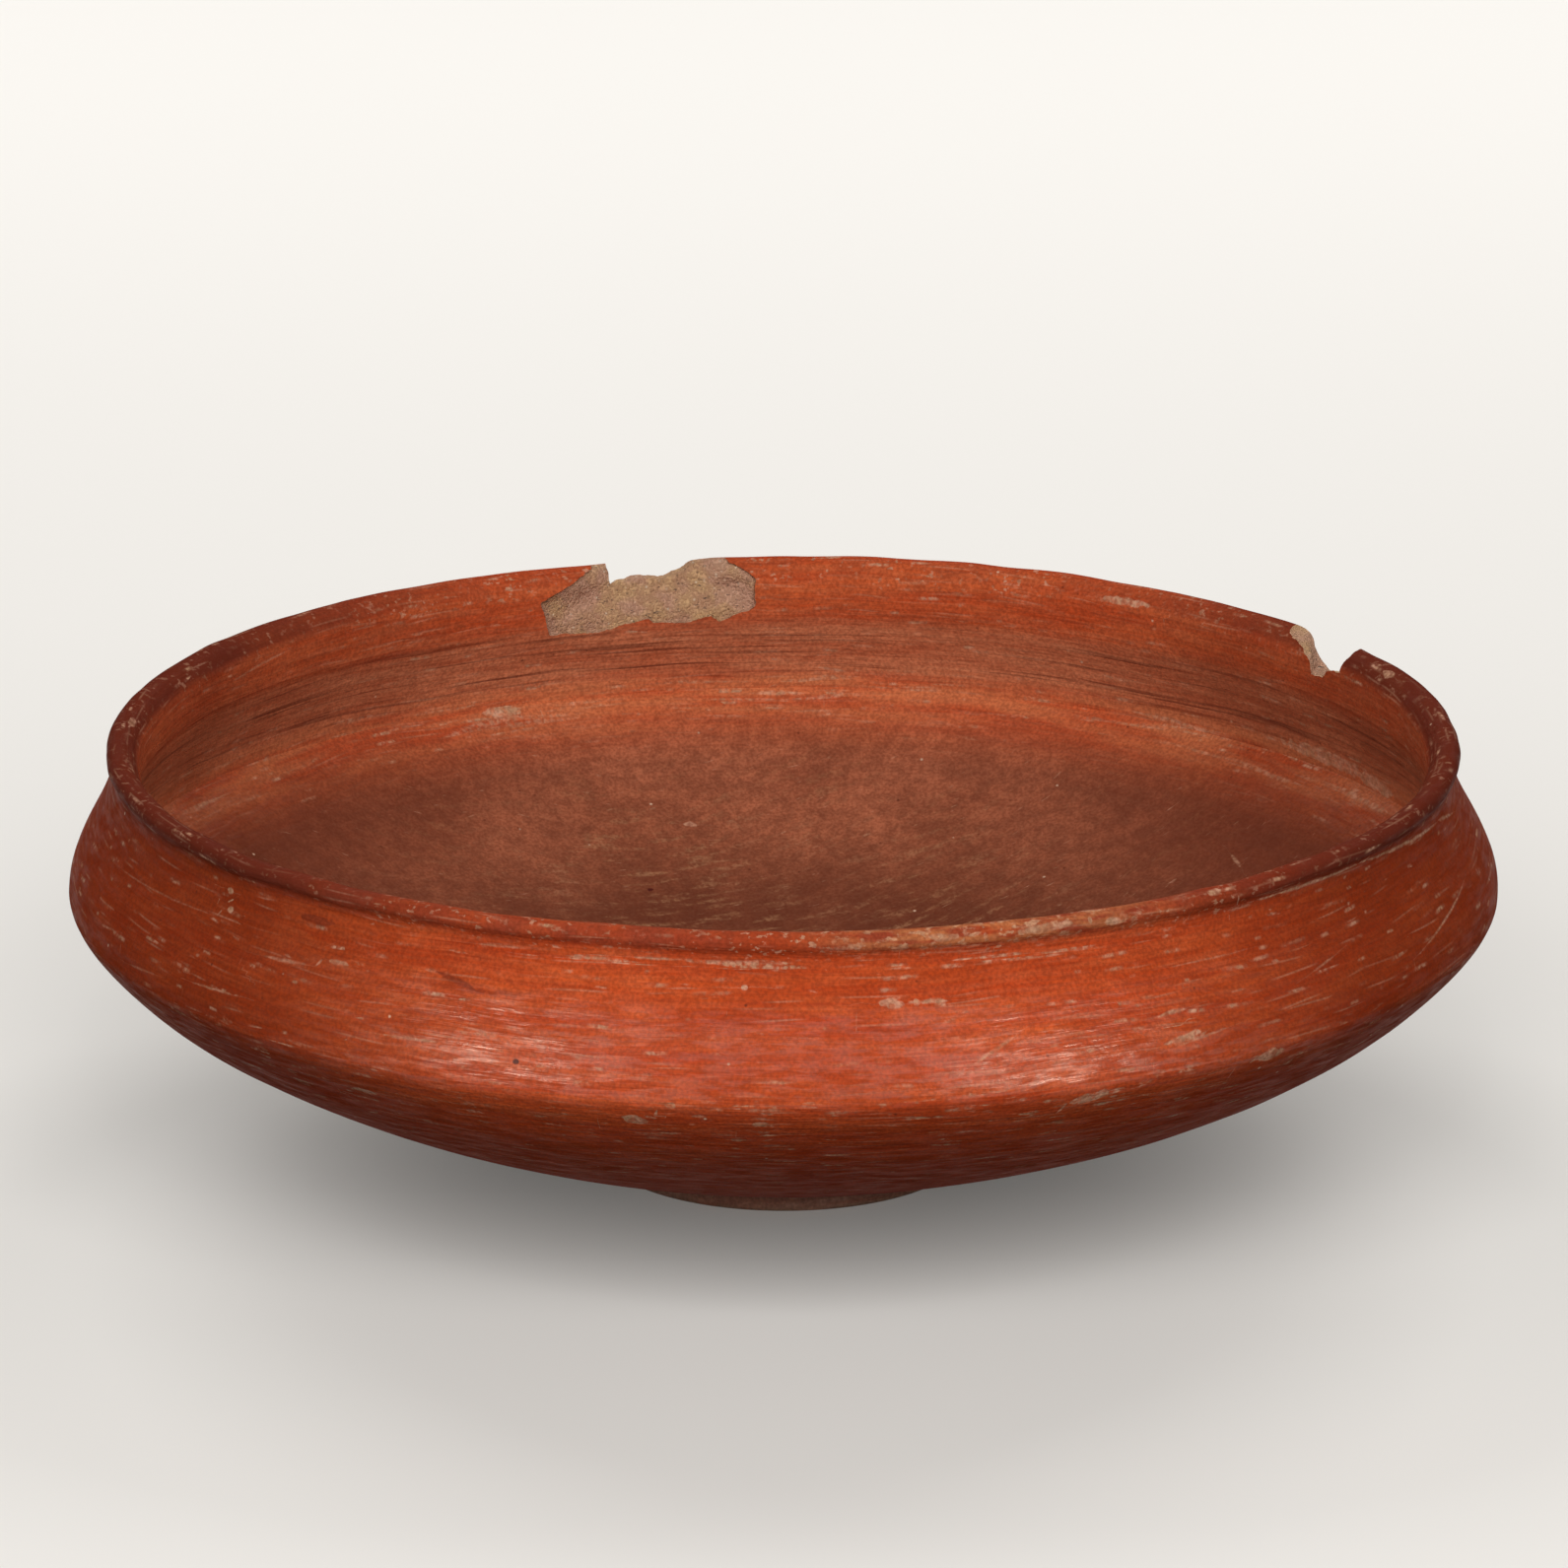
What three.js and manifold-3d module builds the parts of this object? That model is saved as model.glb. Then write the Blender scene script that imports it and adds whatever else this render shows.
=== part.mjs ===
// Burnished carinated bowl of red-slipped earthenware, in millimetres with +Z up.
// It stands on z = 0 with its axis on Z, and its front faces -Y.
// Four clay members were shaped apart and luted together before firing: a ring foot, a dish-shaped
// lower bowl, a shoulder wall that stands on the dish's edge at the carination, and a rim that sits
// on the neck and laps down inside it. Two old chips break the rim at the back.
import * as THREE from 'three';
import { mergeVertices } from 'three/addons/utils/BufferGeometryUtils.js';
import Module from 'manifold-3d';

// Ring foot
const FOOT_RADIUS = 27.6;
const FOOT_HEIGHT = 3.6;
const FOOT_WALL = 5.8;
const FOOT_EDGE = 1;

// Lower bowl, from the foot up to the carination
const BELLY_RADIUS = 105.9;
const BELLY_RISE = 40;
const FLOOR_THICKNESS = 5.8;
const WALL_THICKNESS = 5.5;
const SEAT_MARGIN = 0.8;
const BASE_SLOPE = THREE.MathUtils.degToRad(16);
const KNEE_INSET = 6.6;
const KNEE_DROP = 8.6;

// Shoulder wall, from the carination up to the neck
const SHOULDER_RISE = 17.3;
const SHOULDER_INSET = 6.65;
const NECK_LEAN = THREE.MathUtils.degToRad(13);

// Rim, from the neck up to the lip
const LIP_RISE = 5;
const LIP_PROJECTION = 0.75;
const GROOVE_HEIGHT = 2.15;
const GROOVE_DEPTH = 1;
const RIM_THICKNESS = 4.8;
const MOUTH_ROUNDING = 3;
const LAP_DEPTH = 3.9;
const LUTE_CLEARANCE = 0.3;

// Chips: a notch through the lip with a wide spall below it on the inside, and a deeper nick
const NOTCH_WIDTH = 13.8;
const NOTCH_DEPTH = 2.9;
const SPALL_WIDTH = 37;
const SPALL_DEPTH = 10.5;
const SPALL_BITE = 2.2;
const SPALL_AZIMUTH = THREE.MathUtils.degToRad(103.4);
const NICK_WIDTH = 18.5;
const NICK_DEPTH = 5.5;
const NICK_AZIMUTH = THREE.MathUtils.degToRad(31.1);
const CUT_MARGIN = 8;

// Fineness of the revolved surfaces
const SEGMENTS = 72;
const WALL_STEPS = 7;
const EDGE_STEPS = 3;
const CHIP_STEP = 3;

// Heights and radii that the members share where they meet
const seatRadius = FOOT_RADIUS + SEAT_MARGIN;
const carinationHeight = FOOT_HEIGHT + BELLY_RISE;
const neckHeight = carinationHeight + SHOULDER_RISE;
const neckRadius = BELLY_RADIUS - SHOULDER_INSET;
const lipTop = neckHeight + LIP_RISE;
const lipRadius = neckRadius + LIP_PROJECTION;
const mouthRadius = lipRadius - RIM_THICKNESS;
const lapRadius = (neckRadius + mouthRadius) / 2;
const shelfHeight = neckHeight - LAP_DEPTH;
const innerBellyRadius = BELLY_RADIUS - WALL_THICKNESS;

const wasm = await Module();
wasm.setup();

function welded(geometry) {
  geometry.deleteAttribute('normal');
  geometry.deleteAttribute('uv');
  return mergeVertices(geometry);
}

function solidOf(geometry) {
  const shape = welded(geometry);
  return new wasm.Manifold(new wasm.Mesh({
    numProp: 3,
    vertProperties: Float32Array.from(shape.getAttribute('position').array),
    triVerts: Uint32Array.from(shape.getIndex().array),
  }));
}

function geometryOf(solid) {
  const mesh = solid.getMesh();
  const geometry = new THREE.BufferGeometry();
  geometry.setAttribute('position', new THREE.BufferAttribute(mesh.vertProperties, mesh.numProp));
  geometry.setIndex(new THREE.BufferAttribute(mesh.triVerts, 1));
  geometry.computeVertexNormals();
  return geometry;
}

// Turns a section, drawn as radius and height, about the bowl's axis.
function revolve(section, steps) {
  const geometry = new THREE.LatheGeometry(section.getPoints(steps), SEGMENTS);
  return geometry.rotateX(Math.PI / 2);
}

// A low ring with a rounded standing edge and a flat top that is luted to the base.
function footRing() {
  const inner = FOOT_RADIUS - FOOT_WALL;
  const section = new THREE.Path();
  section.moveTo(inner + FOOT_EDGE, 0);
  section.lineTo(FOOT_RADIUS - FOOT_EDGE, 0);
  section.quadraticCurveTo(FOOT_RADIUS, 0, FOOT_RADIUS, FOOT_EDGE);
  section.lineTo(FOOT_RADIUS, FOOT_HEIGHT);
  section.lineTo(inner, FOOT_HEIGHT);
  section.lineTo(inner, FOOT_EDGE);
  section.quadraticCurveTo(inner, 0, inner + FOOT_EDGE, 0);
  return revolve(section, EDGE_STEPS);
}

// A shallow dish: flat under the foot, curving up to a knee, then turning upright at the carination.
function lowerBowl() {
  const baseHandle = 0.41;
  const kneeHandle = 0.25;
  const floorHandle = 0.4;
  const innerHandle = 0.24;
  const kneeTurn = 0.26;
  const seat = new THREE.Vector2(seatRadius, FOOT_HEIGHT);
  const knee = new THREE.Vector2(BELLY_RADIUS - KNEE_INSET, carinationHeight - KNEE_DROP);
  const turn = new THREE.Vector2(BELLY_RADIUS, carinationHeight - KNEE_DROP * kneeTurn);
  const climb = turn.clone().sub(knee).normalize();
  const innerKnee = new THREE.Vector2(-climb.y, climb.x).multiplyScalar(WALL_THICKNESS).add(knee);
  const span = knee.x - seat.x;
  const rise = new THREE.Vector2(Math.cos(BASE_SLOPE), Math.sin(BASE_SLOPE));
  const low = seat.clone().addScaledVector(rise, span * baseHandle);
  const high = knee.clone().addScaledVector(climb, -span * kneeHandle);
  const innerHigh = innerKnee.clone().addScaledVector(climb, -innerKnee.x * innerHandle);
  const floorHeight = FOOT_HEIGHT + FLOOR_THICKNESS;

  const section = new THREE.Path();
  section.moveTo(0, FOOT_HEIGHT);
  section.lineTo(seat.x, seat.y);
  section.bezierCurveTo(low.x, low.y, high.x, high.y, knee.x, knee.y);
  section.quadraticCurveTo(turn.x, turn.y, BELLY_RADIUS, carinationHeight);
  section.lineTo(innerBellyRadius, carinationHeight);
  section.lineTo(innerKnee.x, innerKnee.y);
  section.bezierCurveTo(innerHigh.x, innerHigh.y, innerKnee.x * floorHandle, floorHeight, 0, floorHeight);
  return revolve(section, WALL_STEPS);
}

// A band that leans in from the carination to the neck, with a shelf cut inside its top for the rim.
function shoulderWall() {
  const bellyHandle = 0.36;
  const neckHandle = 0.43;
  const innerHandle = 0.36;
  const innerSlant = 0.4;
  const neckReach = SHOULDER_RISE * neckHandle;
  const bandRise = shelfHeight - carinationHeight;
  const section = new THREE.Path();
  section.moveTo(innerBellyRadius, carinationHeight);
  section.lineTo(BELLY_RADIUS, carinationHeight);
  section.bezierCurveTo(
    BELLY_RADIUS, carinationHeight + SHOULDER_RISE * bellyHandle,
    neckRadius + neckReach * Math.sin(NECK_LEAN), neckHeight - neckReach * Math.cos(NECK_LEAN),
    neckRadius, neckHeight,
  );
  section.lineTo(lapRadius, neckHeight);
  section.lineTo(lapRadius, shelfHeight);
  section.lineTo(mouthRadius, shelfHeight);
  section.bezierCurveTo(
    THREE.MathUtils.lerp(mouthRadius, innerBellyRadius, innerSlant), shelfHeight - bandRise * innerHandle,
    innerBellyRadius, carinationHeight + bandRise * innerHandle,
    innerBellyRadius, carinationHeight,
  );
  return revolve(section, WALL_STEPS);
}

// A rolled lip over a narrow groove, rounded off into the mouth, with a lap that lines the neck.
function rimRoll() {
  const grooveAngle = -Math.PI / 3;
  const crownTurn = 0.33;
  const rollRadius = (LIP_RISE - GROOVE_HEIGHT) / 2;
  const rollCentre = new THREE.Vector2(lipRadius - rollRadius, lipTop - rollRadius);
  const rollFoot = new THREE.Vector2(Math.cos(grooveAngle), Math.sin(grooveAngle));
  rollFoot.multiplyScalar(rollRadius).add(rollCentre);
  const crown = mouthRadius + (rollCentre.x - mouthRadius) * crownTurn;
  const lapFace = lapRadius - LUTE_CLEARANCE;
  const section = new THREE.Path();
  section.moveTo(lapFace, shelfHeight);
  section.lineTo(lapFace, neckHeight);
  section.lineTo(neckRadius, neckHeight);
  section.quadraticCurveTo(
    neckRadius - GROOVE_DEPTH, rollFoot.y - rollRadius / 2,
    rollFoot.x, rollFoot.y,
  );
  section.absarc(rollCentre.x, rollCentre.y, rollRadius, grooveAngle, Math.PI / 2, false);
  section.quadraticCurveTo(crown, lipTop, mouthRadius, lipTop - MOUTH_ROUNDING);
  section.lineTo(mouthRadius, shelfHeight);
  section.lineTo(lapFace, shelfHeight);
  return revolve(section, EDGE_STEPS);
}

// A chip's cutter: an outline of arc along the lip and depth below it, carried between two radii.
function chipCutter(outline, azimuth, fromRadius, toRadius) {
  const corners = outline.map(([arc, depth]) => new THREE.Vector2(arc, lipTop - depth));
  const points = corners.flatMap((corner, index) => {
    const next = corners[(index + 1) % corners.length];
    const count = Math.ceil(corner.distanceTo(next) / CHIP_STEP);
    return Array.from({ length: count }, (_, step) => corner.clone().lerp(next, step / count));
  });
  const geometry = new THREE.ExtrudeGeometry(new THREE.Shape(points), { depth: 1, bevelEnabled: false });
  const position = geometry.getAttribute('position');
  for (let index = 0; index < position.count; index += 1) {
    const angle = azimuth - position.getX(index) / lipRadius;
    const radius = THREE.MathUtils.lerp(toRadius, fromRadius, position.getZ(index));
    position.setXYZ(index, radius * Math.cos(angle), radius * Math.sin(angle), position.getY(index));
  }
  return solidOf(geometry);
}

// Scales an outline drawn in shares of a chip's width and depth to its real size.
function chipOutline(width, depth, shares) {
  return shares.map(([along, down]) => [along * width, down * depth]);
}

const notch = chipCutter(chipOutline(NOTCH_WIDTH, NOTCH_DEPTH, [
  [-0.38, -1], [-0.38, 1], [0.02, 0.82], [0.29, 0.93], [0.49, 0.6], [0.62, -1],
]), SPALL_AZIMUTH, mouthRadius - CUT_MARGIN, lipRadius + CUT_MARGIN);

const spallReach = mouthRadius + SPALL_BITE;
const spallFace = new THREE.CylinderGeometry(spallReach, spallReach, 2 * (lipTop + CUT_MARGIN), SEGMENTS);
const spall = chipCutter(chipOutline(SPALL_WIDTH, SPALL_DEPTH, [
  [-0.5, 0.42], [-0.44, 0.98], [-0.22, 1], [0.02, 0.87], [0.18, 0.95], [0.34, 0.95], [0.5, 0.78],
  [0.5, 0.06], [0.4, -0.2], [-0.19, -0.2], [-0.23, 0.05],
]), SPALL_AZIMUTH, mouthRadius - CUT_MARGIN, lipRadius).intersect(solidOf(spallFace.rotateX(Math.PI / 2)));

const nick = chipCutter(chipOutline(NICK_WIDTH, NICK_DEPTH, [
  [-0.5, -1], [-0.48, 0], [-0.32, 0.2], [-0.24, 0.55], [-0.05, 1], [0.24, 0.95], [0.29, 0.52],
  [0.4, 0.22], [0.5, 0], [0.5, -1],
]), NICK_AZIMUTH, mouthRadius - CUT_MARGIN, lipRadius + CUT_MARGIN);

function member(name, geometry, color, roughness) {
  const material = new THREE.MeshStandardMaterial({ color, roughness, metalness: 0 });
  const mesh = new THREE.Mesh(geometry, material);
  mesh.name = name;
  return mesh;
}

const bowl = new THREE.Group();
bowl.name = 'burnished_bowl';
bowl.add(member('foot_ring', welded(footRing()), 0x8a4f3c, 0.75));
bowl.add(member('lower_bowl', welded(lowerBowl()), 0xb04a2c, 0.45));
bowl.add(member('shoulder_wall', geometryOf(solidOf(shoulderWall()).subtract(nick)), 0xb5502f, 0.42));
const brokenRim = solidOf(rimRoll()).subtract(notch).subtract(spall).subtract(nick);
bowl.add(member('rim_roll', geometryOf(brokenRim), 0x96473a, 0.45));

export default bowl;
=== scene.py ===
import math

import bmesh
import bpy
import numpy as np
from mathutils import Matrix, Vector, noise


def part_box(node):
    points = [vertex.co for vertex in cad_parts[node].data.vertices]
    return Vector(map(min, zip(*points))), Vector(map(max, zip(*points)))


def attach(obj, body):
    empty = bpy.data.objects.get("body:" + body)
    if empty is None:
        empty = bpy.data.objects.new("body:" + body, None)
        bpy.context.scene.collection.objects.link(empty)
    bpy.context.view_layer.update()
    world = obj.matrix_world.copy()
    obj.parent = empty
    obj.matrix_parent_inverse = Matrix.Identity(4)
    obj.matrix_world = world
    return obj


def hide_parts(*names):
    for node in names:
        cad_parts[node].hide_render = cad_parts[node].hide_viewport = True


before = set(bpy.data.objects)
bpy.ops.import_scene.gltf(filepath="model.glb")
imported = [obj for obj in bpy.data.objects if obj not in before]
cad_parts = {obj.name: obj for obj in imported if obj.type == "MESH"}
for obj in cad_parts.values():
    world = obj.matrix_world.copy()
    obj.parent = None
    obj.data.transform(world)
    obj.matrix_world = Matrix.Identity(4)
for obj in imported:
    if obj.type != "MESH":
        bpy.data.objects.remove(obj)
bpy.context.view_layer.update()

# Lower bowl
# The dish, of coarse buff clay turned on a slow wheel, from the flat base up to the carination, the widest
# line. Like the rest it was coated with red slip and rubbed with a pebble in level strokes. Use has worn its
# inside matt.

MM = 0.001
weld_gap = 0.00001
crease = math.radians(38)
foot_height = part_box("lower_bowl")[0].z / MM
belly_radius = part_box("lower_bowl")[1].x / MM
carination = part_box("lower_bowl")[1].z / MM
wall_thickness = 5.5
floor_height = foot_height + 5.8
base_radius = 28.4
knee = (belly_radius - 6.6, carination - 8.6)
inner_belly = belly_radius - wall_thickness
inner_knee = (95.48, 38.96)


def bend(*points, step):
    """The (radius, height) points of a Bezier bend in mm, about one step apart, without its first point."""
    points = np.array(points, float)
    length = np.linalg.norm(np.diff(points, axis=0), axis=1).sum()
    t = np.linspace(0, 1, max(1, round(length / step)) + 1)[1:, None]
    degree = len(points) - 1
    return sum(math.comb(degree, i) * (1 - t) ** (degree - i) * t ** i * p for i, p in enumerate(points))


def add(tree, kind, inputs=None, **settings):
    """Adds a node with its settings, and fills its inputs with values or with other nodes' outputs."""
    made = tree.nodes.new(kind)
    for name, value in settings.items():
        setattr(made, name, value)
    for key, value in (inputs or {}).items():
        if isinstance(value, bpy.types.Node):
            value = value.outputs[0]
        if isinstance(value, bpy.types.NodeSocket):
            tree.links.new(value, made.inputs[key])
        else:
            made.inputs[key].default_value = value
    return made


# One tree turns every wall of the bowl: the section goes round the axis, then the whole wall sways and is
# dented a little, as a hand-made wall is, by a rule of place alone, so that walls which meet keep meeting.
turning = bpy.data.node_groups.new("turned_clay_wall", "GeometryNodeTree")
for label, kind in (("Section", "Geometry"), ("Segments", "Int"), ("Turning Radius", "Float"),
                    ("Sway", "Float"), ("Sway Width", "Float"), ("Dents", "Float"), ("Dent Width", "Float"),
                    ("Still Below", "Float"), ("Free Above", "Float"), ("Lip Lumps", "Float"),
                    ("Lip From", "Float"), ("Lip To", "Float"), ("Clay", "Material")):
    turning.interface.new_socket(label, in_out="INPUT", socket_type="NodeSocket" + kind)
turning.interface.new_socket("Wall", in_out="OUTPUT", socket_type="NodeSocketGeometry")
given = add(turning, "NodeGroupInput").outputs
path = add(turning, "GeometryNodeCurvePrimitiveCircle",
           {"Resolution": given["Segments"], "Radius": given["Turning Radius"]})
profile = add(turning, "GeometryNodeMeshToCurve", {"Mesh": given["Section"]})
swept = add(turning, "GeometryNodeCurveToMesh", {"Curve": path, "Profile Curve": profile})
closed = add(turning, "GeometryNodeMergeByDistance", {"Geometry": swept, "Distance": weld_gap})
place = add(turning, "GeometryNodeInputPosition")
height = add(turning, "ShaderNodeSeparateXYZ", {0: place}).outputs["Z"]
free = add(turning, "ShaderNodeMapRange", interpolation_type="SMOOTHSTEP",
           inputs={"Value": height, 1: given["Still Below"], 2: given["Free Above"]})
on_lip = add(turning, "ShaderNodeMapRange", interpolation_type="SMOOTHSTEP",
             inputs={"Value": height, 1: given["Lip From"], 2: given["Lip To"]})
wall = closed
for amount, width, region in (("Sway", "Sway Width", free), ("Dents", "Dent Width", free),
                              ("Lip Lumps", "Dent Width", on_lip)):
    per_metre = add(turning, "ShaderNodeMath", {0: 1.0, 1: given[width]}, operation="DIVIDE")
    drift = add(turning, "ShaderNodeTexNoise", {"Vector": place, "Scale": per_metre, "Detail": 1.0})
    swing = add(turning, "ShaderNodeVectorMath", {0: drift.outputs["Color"], 1: (0.5, 0.5, 0.5)},
                operation="SUBTRACT")
    reach = add(turning, "ShaderNodeMath", {0: given[amount], 1: region}, operation="MULTIPLY")
    offset = add(turning, "ShaderNodeVectorMath", {0: swing, "Scale": reach}, operation="SCALE")
    wall = add(turning, "GeometryNodeSetPosition", {"Geometry": wall, "Offset": offset})
soft = add(turning, "GeometryNodeSetShadeSmooth", {0: wall, "Shade Smooth": True})
real = add(turning, "GeometryNodeRealizeInstances", {0: soft})
coated = add(turning, "GeometryNodeSetMaterial", {"Geometry": real, "Material": given["Clay"]})
add(turning, "NodeGroupOutput", {0: coated})
turning_inputs = {item.name: item.identifier for item in turning.interface.items_tree
                  if item.in_out == "INPUT"}


def made_plain(piece):
    """Turns a piece with live modifiers into a plain mesh."""
    bpy.context.view_layer.update()
    ready = piece.evaluated_get(bpy.context.evaluated_depsgraph_get())
    mesh = bpy.data.meshes.new_from_object(ready)
    mesh.name = piece.name
    piece.modifiers.clear()
    piece.data = mesh


def turn_wall(name, section, clay):
    """Turns a section, (radius, height) points in mm round a loop or from axis to axis, into a wall."""
    turning_radius = 0.1
    points = [(r * MM - turning_radius, -z * MM, 0) for r, z in section]
    edges = [(i, i + 1) for i in range(len(points) - 1)]
    if section[0][0] > 0:
        edges.append((len(points) - 1, 0))
    line = bpy.data.meshes.new(name + "_section")
    line.from_pydata(points, edges, [])
    piece = bpy.data.objects.new(name, line)
    bpy.context.scene.collection.objects.link(piece)
    turned = piece.modifiers.new("turning", "NODES")
    turned.node_group = turning
    for label, value in (("Segments", 512), ("Turning Radius", turning_radius), ("Sway", 0.0012),
                         ("Sway Width", 0.085), ("Dents", 0.0003), ("Dent Width", 0.014),
                         ("Still Below", 0.004), ("Free Above", 0.03), ("Lip Lumps", 0.0004),
                         ("Lip From", 0.0622), ("Lip To", 0.0645), ("Clay", clay)):
        turned[turning_inputs[label]] = value
    made_plain(piece)
    shell = bmesh.new()
    shell.from_mesh(piece.data)
    bmesh.ops.recalc_face_normals(shell, faces=shell.faces)
    shell.to_mesh(piece.data)
    shell.free()
    return piece


def survey(piece, section, inside_from, marks):
    """Stores what the slip reads at each point of a wall: how far along the section it is in mm, whether it
    is inside, and its place within the nearest mark: a share along it, mm across it and its half width."""
    inside_fade = 2.0
    mark_margin = 4.0
    off_every_mark = (9.0, 9.0, 0.0)
    at_a_time = 20000
    mesh = piece.data
    co = np.zeros(len(mesh.vertices) * 3, np.float32)
    mesh.vertices.foreach_get("co", co)
    co = co.reshape(-1, 3) / MM
    section = np.array(section, float)
    run = np.concatenate([[0], np.cumsum(np.linalg.norm(np.diff(section, axis=0), axis=1))])
    flat = np.stack([np.hypot(co[:, 0], co[:, 1]), co[:, 2]], 1)
    nearest = np.concatenate([np.argmin(((part[:, None] - section[None]) ** 2).sum(2), 1)
                              for part in np.array_split(flat, len(flat) // at_a_time + 1)])
    ahead = section[np.minimum(nearest + 1, len(section) - 1)] - section[np.maximum(nearest - 1, 0)]
    ahead /= np.linalg.norm(ahead, axis=1)[:, None]
    climb = run[nearest] + ((flat - section[nearest]) * ahead).sum(1)
    inside = np.clip((climb - run[inside_from]) / inside_fade + 0.5, 0, 1)
    azimuth = np.arctan2(co[:, 0], -co[:, 1])
    local = np.tile(np.array(off_every_mark), (len(co), 1))
    tone = np.zeros(len(co))
    closest = np.full(len(co), 1e9)
    for where, turn, z, length, width, tilt, shade in marks:
        first, last = (inside_from, len(section)) if where == "in" else (0, inside_from)
        at = first + int(np.argmin(np.abs(section[first:last, 1] - z)))
        along = (azimuth - math.radians(turn) + math.pi) % (2 * math.pi) - math.pi
        along *= section[at, 0]
        across = (climb - run[at]) * (1 if where == "out" else -1)
        tilt = math.radians(tilt)
        u = along * math.cos(tilt) + across * math.sin(tilt)
        v = across * math.cos(tilt) - along * math.sin(tilt)
        away = np.hypot(np.maximum(np.abs(u) - length / 2, 0), np.maximum(np.abs(v) - width / 2, 0))
        near = (away < np.minimum(closest, mark_margin)) & ((inside > 0.5) == (where == "in"))
        closest[near] = away[near]
        local[near] = np.stack([u / (length / 2), v, np.full(len(u), width / 2)], 1)[near]
        tone[near] = shade
    for label, kind, key, values in (
            ("climb", "FLOAT", "value", climb), ("inside", "FLOAT", "value", inside),
            ("mark", "FLOAT_VECTOR", "vector", local), ("mark_tone", "FLOAT", "value", tone)):
        layer = mesh.attributes.new(label, kind, "POINT")
        layer.data.foreach_set(key, values.astype(np.float32).ravel())


def linear(code):
    """An sRGB hex colour as linear red, green, blue and alpha."""
    channels = [int(code[i:i + 2], 16) / 255 for i in (1, 3, 5)]
    return [c / 12.92 if c <= 0.04045 else ((c + 0.055) / 1.055) ** 2.4 for c in channels] + [1.0]


def empty_finish(name):
    """A material that has no nodes yet, and its tree."""
    made = bpy.data.materials.new(name)
    made.use_nodes = True
    made.node_tree.nodes.clear()
    return made, made.node_tree


# Red slip on buff earthenware, burnished with a pebble: a low satin gloss that breaks up into level strokes,
# thin places and scratches where the paler clay shows, and a matt, browner floor where use has rubbed the
# gloss away. The helpers that follow add their nodes to the tree in hand.
slip, tree = empty_finish("burnished_red_slip_on_earthenware")
object_place = add(tree, "ShaderNodeTexCoord").outputs["Object"]
place_mm = add(tree, "ShaderNodeVectorMath", {0: object_place, "Scale": 1 / MM}, operation="SCALE")
axes = add(tree, "ShaderNodeSeparateXYZ", {0: place_mm}).outputs
plan = add(tree, "ShaderNodeCombineXYZ", {"X": axes["X"], "Y": axes["Y"]})
bearing = add(tree, "ShaderNodeVectorMath", {0: plan}, operation="NORMALIZE")
level = add(tree, "ShaderNodeVectorMath", {0: (0, 0, 1), 1: bearing}, operation="CROSS_PRODUCT")
stroke_radius = 100.0
round_mm = add(tree, "ShaderNodeVectorMath", {0: bearing, "Scale": stroke_radius}, operation="SCALE")
climb = add(tree, "ShaderNodeAttribute", attribute_name="climb").outputs["Fac"]
inside = add(tree, "ShaderNodeAttribute", attribute_name="inside").outputs["Fac"]
outside = add(tree, "ShaderNodeMath", {0: 1.0, 1: inside}, operation="SUBTRACT")

# The strokes run level round the wall and wander up and down by about 1 mm, as a hand does.
wander_width = 40
wander_reach = 2.6
wander = add(tree, "ShaderNodeTexNoise", {"Vector": place_mm, "Scale": 1 / wander_width, "Detail": 2.0})
wander_mm = add(tree, "ShaderNodeMath", {0: wander, 1: wander_reach, 2: climb}, operation="MULTIPLY_ADD")
lift = add(tree, "ShaderNodeCombineXYZ", {"Z": wander_mm})
stroke_place = add(tree, "ShaderNodeVectorMath", {0: round_mm, 1: lift}, operation="ADD")


def pattern(vector, long, wide, detail, low, high):
    """A noise of grains so long and so wide in mm, spread so that low gives 0 and high gives 1."""
    size = (1 / long, 1 / long, 1 / wide)
    scaled = add(tree, "ShaderNodeVectorMath", {0: vector, 1: size}, operation="MULTIPLY")
    grain = add(tree, "ShaderNodeTexNoise", {"Vector": scaled, "Scale": 1.0, "Detail": detail})
    return add(tree, "ShaderNodeMapRange", {"Value": grain, 1: low, 2: high},
               interpolation_type="SMOOTHSTEP")


def strongest(*layers):
    """The largest of several layers, where each is the product of its shares."""
    result = None
    for shares in layers:
        layer = shares[0]
        for other in shares[1:]:
            layer = add(tree, "ShaderNodeMath", {0: layer, 1: other}, operation="MULTIPLY")
        if result is not None:
            layer = add(tree, "ShaderNodeMath", {0: result, 1: layer}, operation="MAXIMUM")
        result = layer
    return result


def laid(colour, *coats):
    """A colour with coats over it, one after another: each a colour and the shares of it that show."""
    for over, *shares in coats:
        ends = [linear(end) if isinstance(end, str) else end for end in (colour, over)]
        mixed = add(tree, "ShaderNodeMix", {0: strongest(shares), 6: ends[0], 7: ends[1]}, data_type="RGBA")
        colour = mixed.outputs[2]
    return colour


def band(value, *edges):
    """1 where a value lies between the second and third of four edges, 0 beyond the outer two."""
    rise, fall = (add(tree, "ShaderNodeMapRange", {"Value": value, 1: empty, 2: full},
                      interpolation_type="SMOOTHSTEP") for empty, full in (edges[:2], edges[:1:-1]))
    return strongest((rise, fall))


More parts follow.
